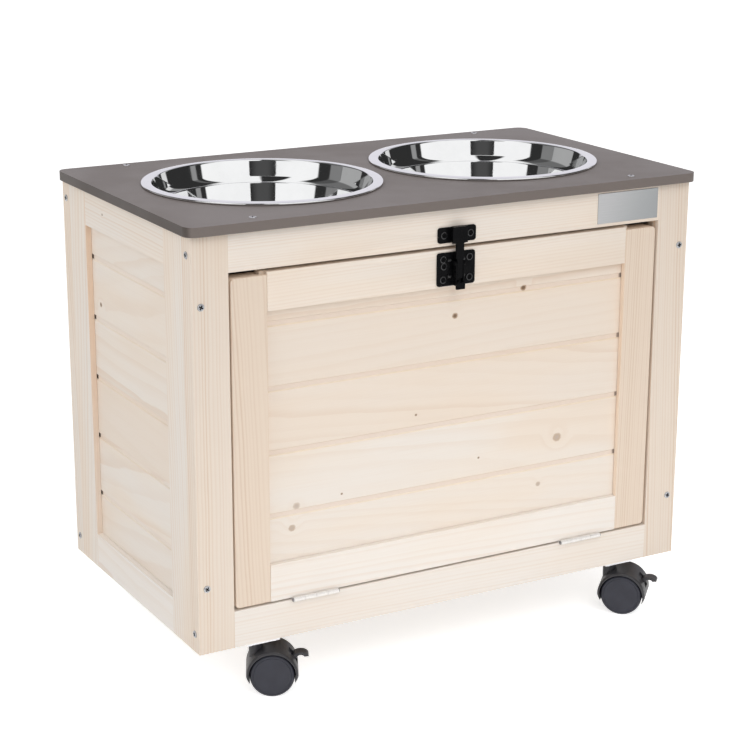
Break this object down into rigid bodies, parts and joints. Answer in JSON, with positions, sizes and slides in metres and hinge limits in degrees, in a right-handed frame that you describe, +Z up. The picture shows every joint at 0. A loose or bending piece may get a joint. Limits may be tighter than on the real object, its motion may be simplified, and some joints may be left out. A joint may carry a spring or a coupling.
{
  "type": "pet feeder stand",
  "caption": "Pale panelled wooden cabinet on swivel castors with lift-out steel feeding bowls in a taupe top, and a hinged drop-down storage flap held by a black toggle latch.",
  "frame": {"origin": "on the floor under the middle of the cabinet", "axes": "+Z up, +X to the right as seen from the flap, and the flap faces -Y"},
  "size_m": [0.612, 0.3927, 0.5112],
  "materials": {
    "spruce": "planed, untreated",
    "coated_board": "taupe matt coating",
    "plywood": "sanded",
    "polished_steel": "mirror polish",
    "zinc": "bright zinc",
    "black_steel": "satin black",
    "castor_plastic": "satin moulded",
    "label_aluminium": "brushed"
  },
  "bodies": {
    "cabinet": {"front_left_stile": "spruce", "front_right_stile": "spruce", "front_top_rail": "spruce", "front_bottom_rail": "spruce", "back_left_stile": "spruce", "back_right_stile": "spruce", "back_top_rail": "spruce", "back_bottom_rail": "spruce", "back_planks": "spruce", "left_front_stile": "spruce", "left_back_stile": "spruce", "left_top_rail": "spruce", "left_bottom_rail": "spruce", "left_planks": "spruce", "right_front_stile": "spruce", "right_back_stile": "spruce", "right_top_rail": "spruce", "right_bottom_rail": "spruce", "right_planks": "spruce", "floor_battens": "spruce", "top_plate": "coated_board", "floor_panel": "plywood", "frame_screws": "zinc", "label_plate": "label_aluminium", "hinge_frame_leaves": "zinc", "hinge_pins": "zinc", "latch_keeper": "black_steel", "latch_keeper_screws": "black_steel", "castor_plates": "zinc", "castor_screws": "zinc"},
    "flap": {"flap_left_stile": "spruce", "flap_right_stile": "spruce", "flap_top_rail": "spruce", "flap_bottom_rail": "spruce", "flap_planks": "spruce", "hinge_flap_leaves": "zinc", "latch_base": "black_steel", "latch_base_screws": "black_steel"},
    "latch_lever": {"latch_lever": "black_steel"},
    "latch_hook": {"latch_hook": "black_steel"},
    "left_bowl": {"left_bowl": "polished_steel"},
    "right_bowl": {"right_bowl": "polished_steel"},
    "front_left_castor": {"front_left_hood": "castor_plastic", "front_left_axle": "zinc"},
    "front_left_wheel_a": {"front_left_wheel_a": "castor_plastic"},
    "front_left_wheel_b": {"front_left_wheel_b": "castor_plastic"},
    "front_left_brake": {"front_left_brake_pedal": "castor_plastic"},
    "front_right_castor": {"front_right_hood": "castor_plastic", "front_right_axle": "zinc"},
    "front_right_wheel_a": {"front_right_wheel_a": "castor_plastic"},
    "front_right_wheel_b": {"front_right_wheel_b": "castor_plastic"},
    "front_right_brake": {"front_right_brake_pedal": "castor_plastic"},
    "back_left_castor": {"back_left_hood": "castor_plastic", "back_left_axle": "zinc"},
    "back_left_wheel_a": {"back_left_wheel_a": "castor_plastic"},
    "back_left_wheel_b": {"back_left_wheel_b": "castor_plastic"},
    "back_right_castor": {"back_right_hood": "castor_plastic", "back_right_axle": "zinc"},
    "back_right_wheel_a": {"back_right_wheel_a": "castor_plastic"},
    "back_right_wheel_b": {"back_right_wheel_b": "castor_plastic"}
  },
  "joints": [
    {"name": "flap_hinge", "type": "hinge", "parent": "cabinet", "child": "flap", "pos_m": [0, -0.173, 0.103], "axis": [1, 0, 0], "range_deg": [0, 100]},
    {"name": "latch_lever_pivot", "type": "hinge", "parent": "flap", "child": "latch_lever", "pos_m": [0, -0.176, 0.44], "axis": [-1, 0, 0], "range_deg": [0, 100]},
    {"name": "latch_hook_pivot", "type": "hinge", "parent": "latch_lever", "child": "latch_hook", "pos_m": [0, -0.1755, 0.425], "axis": [-1, 0, 0], "range_deg": [-100, 0]},
    {"name": "left_bowl_lift", "type": "slide", "parent": "cabinet", "child": "left_bowl", "axis": [0, 0, 1], "range_m": [0, 0.1]},
    {"name": "right_bowl_lift", "type": "slide", "parent": "cabinet", "child": "right_bowl", "axis": [0, 0, 1], "range_m": [0, 0.1]},
    {"name": "front_left_swivel", "type": "hinge", "parent": "cabinet", "child": "front_left_castor", "pos_m": [-0.227, -0.15, 0.054], "axis": [0, 0, 1], "continuous": true},
    {"name": "front_left_wheel_a_spin", "type": "hinge", "parent": "front_left_castor", "child": "front_left_wheel_a", "pos_m": [-0.21172, -0.15745, 0.0235], "axis": [0.4384, 0.8988, 0], "continuous": true},
    {"name": "front_left_wheel_b_spin", "type": "hinge", "parent": "front_left_castor", "child": "front_left_wheel_b", "pos_m": [-0.21172, -0.15745, 0.0235], "axis": [0.4384, 0.8988, 0], "continuous": true},
    {"name": "front_left_brake_press", "type": "hinge", "parent": "front_left_castor", "child": "front_left_brake", "pos_m": [-0.18986, -0.16811, 0.03929], "axis": [0.4384, 0.8988, 0], "range_deg": [0, 20]},
    {"name": "front_right_swivel", "type": "hinge", "parent": "cabinet", "child": "front_right_castor", "pos_m": [0.227, -0.15, 0.054], "axis": [0, 0, 1], "continuous": true},
    {"name": "front_right_wheel_a_spin", "type": "hinge", "parent": "front_right_castor", "child": "front_right_wheel_a", "pos_m": [0.23923, -0.16181, 0.0235], "axis": [0.6947, 0.7193, 0], "continuous": true},
    {"name": "front_right_wheel_b_spin", "type": "hinge", "parent": "front_right_castor", "child": "front_right_wheel_b", "pos_m": [0.23923, -0.16181, 0.0235], "axis": [0.6947, 0.7193, 0], "continuous": true},
    {"name": "front_right_brake_press", "type": "hinge", "parent": "front_right_castor", "child": "front_right_brake", "pos_m": [0.25672, -0.1787, 0.03929], "axis": [0.6947, 0.7193, 0], "range_deg": [0, 20]},
    {"name": "back_left_swivel", "type": "hinge", "parent": "cabinet", "child": "back_left_castor", "pos_m": [-0.227, 0.15, 0.054], "axis": [0, 0, 1], "continuous": true},
    {"name": "back_left_wheel_a_spin", "type": "hinge", "parent": "back_left_castor", "child": "back_left_wheel_a", "pos_m": [-0.21147, 0.15691, 0.0235], "axis": [-0.4067, 0.9135, 0], "continuous": true},
    {"name": "back_left_wheel_b_spin", "type": "hinge", "parent": "back_left_castor", "child": "back_left_wheel_b", "pos_m": [-0.21147, 0.15691, 0.0235], "axis": [-0.4067, 0.9135, 0], "continuous": true},
    {"name": "back_right_swivel", "type": "hinge", "parent": "cabinet", "child": "back_right_castor", "pos_m": [0.227, 0.15, 0.054], "axis": [0, 0, 1], "continuous": true},
    {"name": "back_right_wheel_a_spin", "type": "hinge", "parent": "back_right_castor", "child": "back_right_wheel_a", "pos_m": [0.24002, 0.16093, 0.0235], "axis": [-0.6428, 0.766, 0], "continuous": true},
    {"name": "back_right_wheel_b_spin", "type": "hinge", "parent": "back_right_castor", "child": "back_right_wheel_b", "pos_m": [0.24002, 0.16093, 0.0235], "axis": [-0.6428, 0.766, 0], "continuous": true}
  ],
  "couplings": [
    {"joint": "latch_hook_pivot", "follows": "latch_lever_pivot", "ratio": -1}
  ]
}
